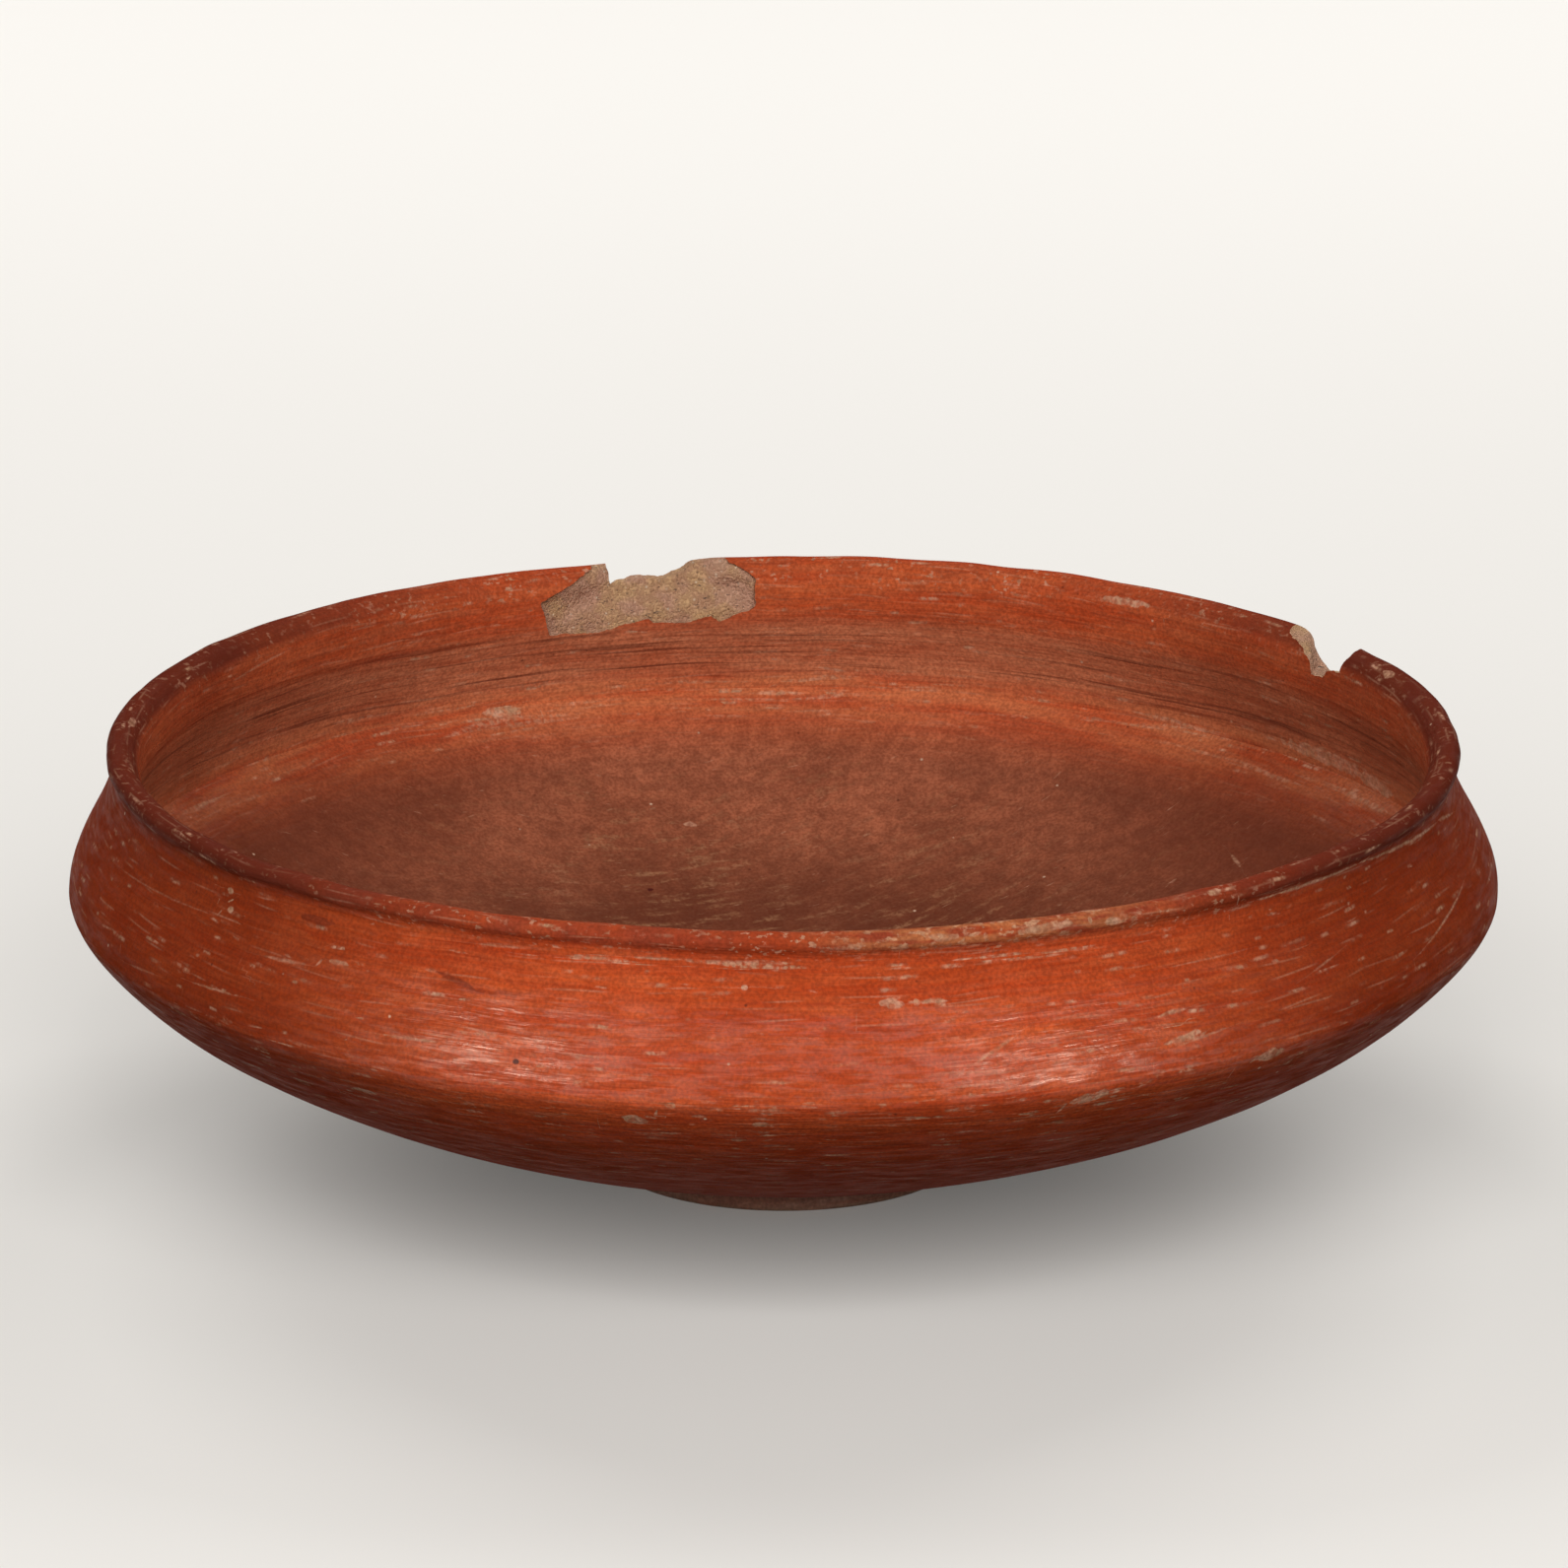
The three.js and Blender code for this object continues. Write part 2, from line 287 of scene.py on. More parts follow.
def dashes(cell_long, cell_wide, length, width, kept):
    """Straight scratches, at most one to each cell so long and so wide in mm, in the share of the cells that
    is kept. Each has its own length, up to the one given, its own slant and its own strength."""
    most_slant = 0.07
    cell = (cell_long, cell_long, cell_wide)
    scaled = add(tree, "ShaderNodeVectorMath", {0: stroke_place, 1: [1 / side for side in cell]},
                 operation="MULTIPLY")
    cells = add(tree, "ShaderNodeTexVoronoi", {"Vector": scaled, "Scale": 1.0})
    chance = add(tree, "ShaderNodeSeparateColor", {0: cells.outputs["Color"]}).outputs
    away = add(tree, "ShaderNodeVectorMath", {0: scaled, 1: cells.outputs["Position"]}, operation="SUBTRACT")
    away = add(tree, "ShaderNodeVectorMath", {0: away, 1: cell}, operation="MULTIPLY")
    along = add(tree, "ShaderNodeVectorMath", {0: away, 1: level}, operation="DOT_PRODUCT").outputs["Value"]
    slant = add(tree, "ShaderNodeMapRange", {"Value": chance[2], 3: -most_slant, 4: most_slant})
    rise = add(tree, "ShaderNodeSeparateXYZ", {0: away}).outputs["Z"]
    across = add(tree, "ShaderNodeMath", {0: along, 1: slant, 2: rise}, operation="MULTIPLY_ADD")
    across = add(tree, "ShaderNodeMath", {0: across}, operation="ABSOLUTE")
    end = add(tree, "ShaderNodeMapRange", {"Value": chance[1], 3: length * 0.15, 4: length * 0.5})
    along = add(tree, "ShaderNodeMath", {0: along}, operation="ABSOLUTE")
    short_of_end = add(tree, "ShaderNodeMath", {0: end, 1: along}, operation="SUBTRACT")
    tapered = add(tree, "ShaderNodeMapRange", {"Value": short_of_end, 1: 0.0, 2: length * 0.2})
    line = add(tree, "ShaderNodeMapRange", {"Value": across, 1: width * 0.7, 2: width * 0.2})
    strength = add(tree, "ShaderNodeMapRange", {"Value": chance[0], 1: 1.0 - kept, 2: 1.0 - kept * 0.3})
    return strongest((tapered, line, strength))


# The finest strokes, grains and pits are drawn coarser than the real ones, so that they show.
broad_stroke = pattern(stroke_place, 26, 2.8, 3.0, 0.34, 0.66)
fine_stroke = pattern(stroke_place, 9, 0.45, 3.0, 0.34, 0.66)
dark_stroke = pattern(stroke_place, 18, 0.8, 4.0, 0.55, 0.74)
cloud = pattern(place_mm, 30, 30, 4.0, 0.38, 0.66)
small_cloud = pattern(place_mm, 8, 8, 4.0, 0.4, 0.64)
mottle = pattern(place_mm, 2.2, 2.2, 3.0, 0.36, 0.64)
drawn_mottle = pattern(stroke_place, 7, 1.3, 4.0, 0.36, 0.64)
thin_dark = pattern(stroke_place, 14, 0.5, 4.0, 0.5, 0.68)
crumb = pattern(place_mm, 0.9, 0.9, 3.0, 0.38, 0.58)
speckle = pattern(place_mm, 0.5, 0.5, 2.0, 0.32, 0.68)
broken_up = add(tree, "ShaderNodeMapRange", {"Value": crumb, 3: 0.15, 4: 1.0})

# Edges for bands that have no lower, upper or front end on the bowl.
from_below, to_top, from_front = (-20, -10), (80, 90), (-120, -110)

# Outside the slip is an orange red, thinner and paler along the strokes and darker where they overlap. It is
# painted darker as shade on the belly and towards both sides of a middle that lies a little right of the
# axis.
red = laid("#c34922", ("#cf592b", broad_stroke), ("#d4744a", fine_stroke, 0.26), ("#a03614", cloud, 0.42),
           ("#9a3110", small_cloud, 0.22), ("#8e2d14", dark_stroke, 0.35), ("#96331a", thin_dark, 0.32),
           ("#a33612", drawn_mottle, 0.34), ("#a33612", mottle, 0.15))
# A mask for the shade painted on both sides of the wall, inside and out, and on the lip.
side_shade_middle = 3.0
side_shade_from, side_shade_full = 40.0, 84.0
off_axis = add(tree, "ShaderNodeMath", {0: axes["X"], 1: side_shade_middle}, operation="SUBTRACT")
off_axis = add(tree, "ShaderNodeMath", {0: off_axis}, operation="ABSOLUTE")
painted_side_shade = add(tree, "ShaderNodeMapRange", {"Value": off_axis, 1: side_shade_from, 2: side_shade_full},
              interpolation_type="SMOOTHSTEP")
# Below the carination the slip is painted darker, as the shade that falls on the underside.
belly = band(axes["Z"], *from_below, 34, 42)
red = laid(red, ("#5f1d0b", painted_side_shade, 0.6), ("#8f2c0e", belly, 0.45))

# Inside it is worn: the neck stays red, the wall below is streaked brown, and the floor is dull and browner,
# paler in an oval middle, where short slanting strokes show.
lower_wall = band(axes["Z"], 43, 48, 54, 59)
dish_floor = band(axes["Z"], *from_below, 34, 44.5)
ridge = band(axes["Z"], 38, 42.5, 45, 48.5)
neck_red = laid("#c14e27", ("#cd6034", broad_stroke), ("#883420", dark_stroke, 0.55),
                ("#9a3a1c", mottle, 0.32), ("#c98059", fine_stroke, 0.16))
wall_line = pattern(stroke_place, 42, 0.75, 4.0, 0.53, 0.66)
brown = laid("#c06845", ("#cf7c56", broad_stroke), ("#944a30", mottle, 0.3), ("#642c1e", wall_line, 0.85),
             ("#d08c66", fine_stroke, 0.26))
floor_oval_centre = (-4, 25, 20)
floor_oval_half_size = (88, 150)
rubbing_slant = math.radians(-20)
rubbing_wander = 14.0
off_middle = add(tree, "ShaderNodeVectorMath", {0: place_mm, 1: floor_oval_centre}, operation="SUBTRACT")
per_half = [1 / half for half in floor_oval_half_size] + [0]
off_middle = add(tree, "ShaderNodeVectorMath", {0: off_middle, 1: per_half}, operation="MULTIPLY")
off_middle = add(tree, "ShaderNodeVectorMath", {0: off_middle}, operation="LENGTH").outputs["Value"]
floor_oval = add(tree, "ShaderNodeMapRange", {"Value": off_middle, 1: 1.0, 2: 0.3},
                    interpolation_type="SMOOTHSTEP")
slanted = add(tree, "ShaderNodeVectorRotate",
              {"Vector": place_mm, "Axis": (0, 0, 1), "Angle": rubbing_slant})
slant_axes = add(tree, "ShaderNodeSeparateXYZ", {0: slanted}).outputs
slant_wander = add(tree, "ShaderNodeMath", {0: wander, 1: rubbing_wander, 2: slant_axes["Y"]},
                   operation="MULTIPLY_ADD")
slant_place = add(tree, "ShaderNodeCombineXYZ", {"X": slant_axes["X"], "Z": slant_wander})
rubbing = pattern(slant_place, 8, 1.3, 5.0, 0.48, 0.7)
deep_floor, low_floor = (add(tree, "ShaderNodeMapRange", {"Value": axes["Z"], 1: empty, 2: full},
                             interpolation_type="SMOOTHSTEP") for empty, full in ((30.0, 18.0), (36.0, 24.0)))
floor_edge = band(axes["Z"], 27, 35, 50, 60)
floor_line = pattern(stroke_place, 24, 0.9, 4.0, 0.5, 0.66)
dull = laid("#743d2b", ("#b76b4c", floor_oval), ("#80452f", cloud, 0.4), ("#633527", small_cloud, 0.26),
            ("#562d20", deep_floor, 0.7),
            ("#b4875f", rubbing, floor_oval, cloud, low_floor, broken_up, 0.5),
            ("#9c6746", rubbing, cloud, broken_up, 0.35), ("#5f3325", mottle, 0.36),
            ("#b98463", crumb, rubbing, floor_oval, low_floor, 0.25),
            ("#783a27", floor_line, floor_edge, 0.25))
# Both sides of the inside are painted darker, as shade.
inner = laid(neck_red, (brown, lower_wall), (dull, dish_floor), ("#c8794f", ridge, broad_stroke, 0.6),
             ("#6e3120", painted_side_shade, 0.2), ("#5f2a1b", painted_side_shade, cloud, 0.26))

# The lip is browner, with a purple cast that the fire left on all but its far side, and painted shade on both
# sides.
lip_zone = band(axes["Z"], 61.6, 63.2, *to_top)
lip_crest = band(axes["Z"], 62.4, 64.4, *to_top)
fired_side = add(tree, "ShaderNodeMapRange", {"Value": axes["Y"], 1: 85.0, 2: 45.0, 3: 0.3, 4: 1.0})
cast = add(tree, "ShaderNodeMapRange", {"Value": small_cloud, 3: 0.85, 4: 0.3})
colour = laid(red, (inner, inside), ("#8b3b28", lip_crest, fired_side, cast),
              ("#501f17", lip_crest, fired_side, painted_side_shade, 0.78))
lip_rubbed = strongest((lip_crest, band(axes["X"], -2, 18, 38, 60), band(axes["Y"], *from_front, -85, -72)))
colour = laid(colour, ("#c9814f", lip_rubbed, pattern(stroke_place, 6, 1.2, 4.0, 0.36, 0.6), 0.55),
              ("#d6ab86", lip_rubbed, pattern(place_mm, 1.6, 1.0, 4.0, 0.53, 0.64), 0.55))

# Pale scratches all over but on the floor, and rubbed spots on the carination, the ridge inside, the neck and
# the lip.
off_floor = add(tree, "ShaderNodeMath", {0: 1.0, 1: strongest((inside, dish_floor))}, operation="SUBTRACT")
lively = add(tree, "ShaderNodeMapRange", {"Value": small_cloud, 3: 0.15, 4: 1.0})
edge_zone = band(axes["Z"], 33, 38, 43, 46)
neck_zone = band(axes["Z"], 60.2, 60.9, 61.6, 62.2)
at_front = band(axes["Y"], *from_front, -92, -82)
clear_of_side_shade = add(tree, "ShaderNodeMapRange", {"Value": painted_side_shade, 3: 1.0, 4: 0.4})
wear = strongest(
    (dashes(8, 2.3, 6, 0.55, 0.5), broken_up, lively, off_floor),
    (dashes(6, 3.0, 2.2, 0.45, 0.26), broken_up, off_floor, 0.65),
    (dashes(14, 1.3, 11, 0.3, 0.5), off_floor, 0.28),
    (pattern(stroke_place, 7, 1.7, 5.0, 0.68, 0.76), broken_up, outside, 0.6),
    (pattern(stroke_place, 4, 0.9, 4.0, 0.58, 0.68), edge_zone, outside, lively, broken_up, clear_of_side_shade),
    (pattern(stroke_place, 14, 1.2, 4.0, 0.56, 0.68), ridge, inside, broken_up, 0.6),
    (pattern(stroke_place, 12, 1.0, 4.0, 0.5, 0.6), neck_zone, outside, broken_up, at_front, 0.8),
    (pattern(place_mm, 1.1, 0.8, 3.0, 0.58, 0.66), lip_zone, lively, clear_of_side_shade, 0.8),
    (pattern(slant_place, 3.0, 0.6, 4.0, 0.64, 0.74), dish_floor, inside, 0.4))

# The marks that are placed one by one: ragged flakes and scratches in the pale clay, and a few dark ones.
mark = add(tree, "ShaderNodeAttribute", attribute_name="mark").outputs["Vector"]
mark = add(tree, "ShaderNodeSeparateXYZ", {0: mark}).outputs
tone = add(tree, "ShaderNodeAttribute", attribute_name="mark_tone").outputs["Fac"]
ragged_grain = 1.6
ragged = add(tree, "ShaderNodeTexNoise", {"Vector": place_mm, "Scale": 1 / ragged_grain, "Detail": 5.0})
ragged = add(tree, "ShaderNodeMath", {0: ragged, 1: 0.5}, operation="SUBTRACT")
ragged_end = add(tree, "ShaderNodeMath", {0: ragged, 1: 1.4, 2: mark[0]}, operation="MULTIPLY_ADD")
square = add(tree, "ShaderNodeMath", {0: ragged_end, 1: 2.0}, operation="POWER")
taper = add(tree, "ShaderNodeMath", {0: 1.0, 1: square}, operation="SUBTRACT", use_clamp=True)
taper = add(tree, "ShaderNodeMath", {0: taper, 1: 0.5}, operation="POWER")
ragged_side = add(tree, "ShaderNodeMath", {0: ragged, 1: 1.7}, operation="MULTIPLY")
shifted = add(tree, "ShaderNodeMath", {0: ragged_side, 1: mark[2], 2: mark[1]}, operation="MULTIPLY_ADD")
off_line = add(tree, "ShaderNodeMath", {0: shifted}, operation="ABSOLUTE")
spare = add(tree, "ShaderNodeMath", {0: strongest((taper, mark[2])), 1: off_line}, operation="SUBTRACT")
marked = add(tree, "ShaderNodeMapRange", {"Value": spare, 1: -0.08, 2: 0.2})
pale_tone = add(tree, "ShaderNodeMath", {0: tone, 1: 0.0}, operation="MAXIMUM")
dark_tone = add(tree, "ShaderNodeMath", {0: tone, 1: -1.0}, operation="MULTIPLY", use_clamp=True)
flecked = add(tree, "ShaderNodeMapRange", {"Value": crumb, 3: 0.45, 4: 1.0})
wear = strongest((wear,), (marked, flecked, pale_tone))
colour = laid(colour, (laid("#d09d80", ("#b78b6b", mottle)), wear), ("#4e1f1c", marked, dark_tone))

# Grit in the clay leaves dark pits and a few white specks, each about 0.4 mm across.
pit_spacing = 2.6
grit = add(tree, "ShaderNodeTexVoronoi", {"Vector": place_mm, "Scale": 1 / pit_spacing})
chance = add(tree, "ShaderNodeSeparateColor", {0: grit.outputs["Color"]}).outputs
dot = add(tree, "ShaderNodeMapRange", {"Value": grit.outputs["Distance"], 1: 0.12, 2: 0.04})
often = add(tree, "ShaderNodeMapRange", {"Value": chance[0], 1: 0.6, 2: 1.0})
seldom = add(tree, "ShaderNodeMath", {0: chance[1], 1: 0.95}, operation="GREATER_THAN")
colour = laid(colour, ("#4a2118", dot, often, 0.8), ("#dcb99c", dot, seldom), ("#5e2717", speckle, 0.4))

# The gloss is highest on the strokes. It is lost in the wear, on the floor, below the carination, in the
# neck, on the lip and on the sides that carry the painted shade.
neck_hollow = band(axes["Z"], 53, 57, 62, 64)
under = band(axes["Z"], *from_below, 41, 45)
gloss_loss = strongest((wear,), (inside, dish_floor), (outside, under), (outside, neck_hollow), (lip_zone,),
                       (outside, painted_side_shade))
rubbed_stroke = pattern(stroke_place, 8, 1.3, 4.0, 0.36, 0.64)
stroke_gloss = add(tree, "ShaderNodeMapRange", {"Value": rubbed_stroke, 3: 0.42, 4: 0.27})
shiny_stroke = pattern(stroke_place, 5, 1.0, 4.0, 0.42, 0.6)
stroke_shine = add(tree, "ShaderNodeMapRange", {"Value": shiny_stroke, 3: 0.3, 4: 1.5})
gloss_left = add(tree, "ShaderNodeMapRange", {"Value": gloss_loss, 3: 0.5, 4: 0.03})
gloss_left = strongest((gloss_left, stroke_shine))
dulled = add(tree, "ShaderNodeMath", {0: gloss_loss, 1: 0.26, 2: stroke_gloss}, operation="MULTIPLY_ADD")
relief = strongest((broad_stroke, off_floor))
for part, depth in ((strongest((rubbed_stroke, off_floor)), 0.8), (wear, -0.5),
                    (strongest((dot, often)), -0.8), (speckle, 0.12), (mottle, 0.4),
                    (strongest((fine_stroke, off_floor)), 0.5)):
    relief = add(tree, "ShaderNodeMath", {0: part, 1: depth, 2: relief}, operation="MULTIPLY_ADD")
bumped = add(tree, "ShaderNodeBump", {"Height": relief, "Strength": 1.0, "Distance": 0.00005})
finish = add(tree, "ShaderNodeBsdfPrincipled", {"Base Color": colour, "Roughness": dulled, "IOR": 1.5,
                                                "Specular IOR Level": gloss_left, "Normal": bumped})
add(tree, "ShaderNodeOutputMaterial", {"Surface": finish})

dish_section = np.vstack([
    [(0, foot_height)],
    bend((0, foot_height), (base_radius, foot_height), step=4),
    bend((base_radius, foot_height), (56.34, 11.61), (86.54, 22.70), knee, step=1.3),
    bend(knee, (belly_radius, 41.364), (belly_radius, carination), step=0.6),
    bend((belly_radius, carination), (inner_belly, carination), step=1.4),
    bend((inner_belly, carination), inner_knee, step=1.0),
    bend(inner_knee, (78.99, 23.05), (38.19, floor_height), (0, floor_height), step=1.3),
])
dish_inside = int(np.argmax((dish_section[:, 1] >= carination - 0.01)
                            & (dish_section[:, 0] < belly_radius - 2)))
# Each mark: side, azimuth from the front in degrees, height, length and width in mm, tilt in degrees, tone.
dish_marks = [
    ("out", -34.8, 37.9, 4.2, 1.3, 0, 0.9), ("out", -11.3, 40.2, 3.6, 2.0, -10, 0.95),
    ("out", -1.7, 40.1, 2.4, 1.2, 0, 0.8), ("out", 23.6, 41.2, 5.6, 2.0, 8, 0.9),
    ("out", -8.4, 43.0, 1.6, 1.2, 0, 0.7), ("out", 39.8, 42.4, 6.0, 1.9, 4, 0.85),
    ("out", 13.0, 39.2, 5.0, 0.35, 0, 0.6), ("out", 19.5, 38.9, 6.0, 0.4, 0, 0.6),
    ("in", -153.2, 43.2, 6.2, 2.0, 0, 0.95), ("in", 137.0, 43.5, 20.0, 1.6, 0, 0.55),
    ("in", -161.4, 21.9, 1.0, 0.9, 0, -1.0), ("in", -169.1, 27.4, 2.0, 1.2, 10, 0.8),
    ("in", 124.3, 30.6, 4.0, 0.8, 20, 0.6), ("in", -179.5, 42.9, 8.0, 0.8, 0, 0.7),
]
lower_bowl = turn_wall("lower_bowl_dish", dish_section, slip)
survey(lower_bowl, dish_section, dish_inside, dish_marks)
lower_bowl.data.set_sharp_from_angle(angle=crease)
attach(lower_bowl, "root")
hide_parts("lower_bowl")

# Shoulder
# A band of the same clay, luted on the edge of the dish and drawn in to the neck. It carries the same red
# slip, and its outside has the best of the burnish. Breaks in the rim run down into its top, so it is
# finished together with the rim.

neck = (99.25, 60.9)
shelf = 57.0
lap_radius = 97.225
mouth_radius = 95.2
neck_inside = (95.9, shelf)
shoulder_section = np.vstack([
    [(belly_radius, carination)],
    bend((belly_radius, carination), (belly_radius, 49.83), (100.92, 53.65), neck, step=0.6),
    bend(neck, (lap_radius, neck[1]), step=1.0),
    bend((lap_radius, neck[1]), (lap_radius, shelf), step=1.3),
    bend((lap_radius, shelf), neck_inside, step=1.0),
    bend(neck_inside, (97.6, 51.6), (inner_belly, 48.42), (inner_belly, carination), step=0.7),
    bend((inner_belly, carination), (belly_radius, carination), step=1.4)[:-1],
])
shoulder_inside = int(np.argmax(shoulder_section[:, 0] < lap_radius - 0.1))
shoulder_marks = [
    ("out", -51.8, 60.0, 1.6, 1.0, 0, 0.9), ("out", -51.2, 58.0, 1.2, 1.2, 0, 0.9),
    ("out", 66.2, 50.3, 22.0, 0.4, 10, 0.85), ("out", 35.8, 56.5, 13.0, 0.3, 0, 0.5),
    ("out", 47.2, 51.9, 6.0, 0.35, 12, 0.6), ("out", -26.4, 56.4, 7.6, 1.0, -15, -0.5),
    ("out", -22.3, 55.8, 7.6, 0.8, 5, -0.3), ("out", -49.5, 47.9, 9.8, 0.4, 3, 0.7),
    ("out", -29.4, 48.1, 8.8, 0.5, 2, 0.8), ("out", 8.4, 55.9, 4.0, 1.5, 0, 0.75),
    ("out", 11.8, 56.0, 4.0, 0.8, 0, 0.8), ("out", 21.6, 58.2, 4.8, 1.4, 3, 0.8),
    ("out", 31.8, 47.6, 6.5, 1.0, 8, 0.85), ("out", 31.3, 51.3, 5.0, 0.7, 5, 0.8),
    ("out", 16.2, 49.6, 7.0, 0.6, 28, 0.7), ("out", -3.1, 58.7, 0.9, 0.9, 0, 1.0),
    ("out", -20.5, 47.5, 1.0, 0.9, 0, -1.0), ("in", 115.0, 45.0, 12.0, 2.6, 4, 0.7),
    ("in", 122.0, 45.4, 24.0, 2.6, 0, 0.62), ("out", 75.0, 60.0, 10.0, 0.5, -10, 0.9),
    ("out", -62.0, 55.7, 30.0, 0.3, 3, 0.4), ("out", -37.7, 55.7, 3.6, 0.8, 0, 0.65),
    ("out", -43.3, 54.3, 9.0, 0.6, 4, 0.45), ("out", -41.0, 60.4, 6.0, 1.6, 0, -0.4),
    ("out", -60.0, 45.6, 8.0, 0.35, 5, 0.5), ("out", -68.0, 48.0, 6.0, 0.4, 8, 0.5),
    ("out", 33.0, 47.4, 10.0, 0.4, 6, 0.7), ("in", 175.6, 46.8, 4.5, 0.6, 8, 0.7),
]
shoulder = turn_wall("shoulder_wall_band", shoulder_section, slip)

# Rim
# A coil of clay luted inside the neck, rolled over as a small lip and grooved below with a fingernail or a
# reed. Two old breaks have taken bites out of it and show the coarse buff body.

lip_top_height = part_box("rim_roll")[1].z / MM
roll = 1.425
roll_centre = (100.0 - roll, lip_top_height - roll)
roll_turn = np.radians(np.linspace(-32, 90, 11))
roll_arc = np.stack([roll_centre[0] + roll * np.cos(roll_turn), roll_centre[1] + roll * np.sin(roll_turn)], 1)
crown = (mouth_radius, lip_top_height - 3)
rim_section = np.vstack([
    [(lap_radius, neck[1])],
    bend((lap_radius, neck[1]), neck, step=0.8),
    bend(neck, (98.8, 62.4), tuple(roll_arc[0]), step=0.25),
    roll_arc[1:],
    bend(tuple(roll_arc[-1]), (96.31, lip_top_height), crown, step=0.3),
    bend(crown, (mouth_radius, lip_top_height - 6), neck_inside, step=0.5),
    bend(neck_inside, (lap_radius, shelf), step=0.8),
    bend((lap_radius, shelf), (lap_radius, neck[1]), step=1.3)[:-1],
])
rim_inside = int(np.argmax(rim_section[:, 1])) + 4
rim_marks = [
    ("in", 145.7, 63.8, 9.0, 1.5, 0, 0.85), ("in", 108.7, 65.4, 3.6, 1.4, 0, 0.8),
    ("out", 36.8, 65.6, 2.4, 1.2, 0, 0.9), ("out", 12.5, 65.0, 5.0, 1.2, 0, 0.6),
    ("out", 21.0, 64.8, 9.0, 1.2, 3, 0.75), ("in", -93.5, 65.6, 4.0, 1.6, 0, 0.6),
    ("out", -23.0, 61.6, 8.6, 0.4, 2, 0.6), ("out", -10.2, 61.7, 6.5, 0.4, 0, 0.9),
    ("out", -5.0, 61.6, 5.0, 0.4, 0, 0.8), ("out", 48.5, 62.9, 27.0, 0.6, 0, 1.0),
    ("out", 64.0, 61.9, 30.0, 0.6, -4, 1.0), ("out", 27.0, 64.7, 2.6, 1.4, 0, 0.9),
    ("in", -122.0, 61.5, 14.0, 0.5, -6, 0.5),
]
rim = turn_wall("rim_roll_lip", rim_section, slip)

# Broken earthenware: the bare body, pale buff and gritty, rough to the touch and quite without gloss.
broken, tree = empty_finish("broken_buff_earthenware")
object_place = add(tree, "ShaderNodeTexCoord").outputs["Object"]
place_mm = add(tree, "ShaderNodeVectorMath", {0: object_place, "Scale": 1 / MM}, operation="SCALE")
body_cloud = pattern(place_mm, 3.5, 3.5, 3.0, 0.36, 0.66)
body_grain = pattern(place_mm, 0.4, 0.4, 3.0, 0.35, 0.65)
grit_spacing = 0.8
grit = add(tree, "ShaderNodeTexVoronoi", {"Vector": place_mm, "Scale": 1 / grit_spacing})
chance = add(tree, "ShaderNodeSeparateColor", {0: grit.outputs["Color"]}).outputs
dot = add(tree, "ShaderNodeMapRange", {"Value": grit.outputs["Distance"], 1: 0.34, 2: 0.12})
dark_one = add(tree, "ShaderNodeMath", {0: chance[0], 1: 0.72}, operation="GREATER_THAN")
pale_one = add(tree, "ShaderNodeMath", {0: chance[1], 1: 0.85}, operation="GREATER_THAN")
body_patch = pattern(place_mm, 5, 4, 2.0, 0.42, 0.6)
fleck = pattern(place_mm, 1.4, 0.5, 2.0, 0.66, 0.72)
clay = laid("#ba8e6f", ("#c8a076", body_cloud), ("#c29580", body_patch, 0.7), ("#90694f", body_grain, 0.5),
            ("#5f4a3b", dot, dark_one, 0.6), ("#dcc7ad", dot, pale_one, 0.6), ("#4f4640", fleck, 0.75))
roughness = add(tree, "ShaderNodeMapRange", {"Value": body_grain, 3: 0.82, 4: 0.95})
relief = add(tree, "ShaderNodeMath", {0: body_cloud, 1: 1.5, 2: body_grain}, operation="MULTIPLY_ADD")
bumped = add(tree, "ShaderNodeBump", {"Height": relief, "Strength": 1.0, "Distance": 0.00015})
finish = add(tree, "ShaderNodeBsdfPrincipled", {"Base Color": clay, "Roughness": roughness, "IOR": 1.5,
                                                "Normal": bumped})
add(tree, "ShaderNodeOutputMaterial", {"Surface": finish})


def depth_in(outline, arc, z):
    """How far in mm each point lies inside an outline, or outside it if negative."""
    corners = np.array(outline, float)
    far = np.full(arc.shape, 1e9)
    within = np.zeros(arc.shape, bool)
    for (a0, z0), (a1, z1) in zip(corners, np.roll(corners, -1, axis=0)):
        da, dz = a1 - a0, z1 - z0
        t = np.clip(((arc - a0) * da + (z - z0) * dz) / (da * da + dz * dz), 0, 1)
        far = np.minimum(far, np.hypot(arc - a0 - t * da, z - z0 - t * dz))
        if dz:
            within ^= ((z0 > z) != (z1 > z)) & (arc < a0 + da * (z - z0) / dz)
    return np.where(within, far, -far)


def eased(value, low, high):
    """A soft step from 0 at low to 1 at high."""
    t = np.clip((value - low) / (high - low), 0, 1)
    return t * t * (3 - 2 * t)


def tool_of(name, tool):
    """A closed mesh of clay to take away, as an object whose faces are broken clay."""
    bmesh.ops.recalc_face_normals(tool, faces=tool.faces)
    mesh = bpy.data.meshes.new(name)
    tool.to_mesh(mesh)
    tool.free()
    mesh.materials.append(broken)
    cutter = bpy.data.objects.new(name, mesh)
    bpy.context.scene.collection.objects.link(cutter)
    return cutter


lip_radius = 98.5
lip_arc = math.radians(1) * lip_radius


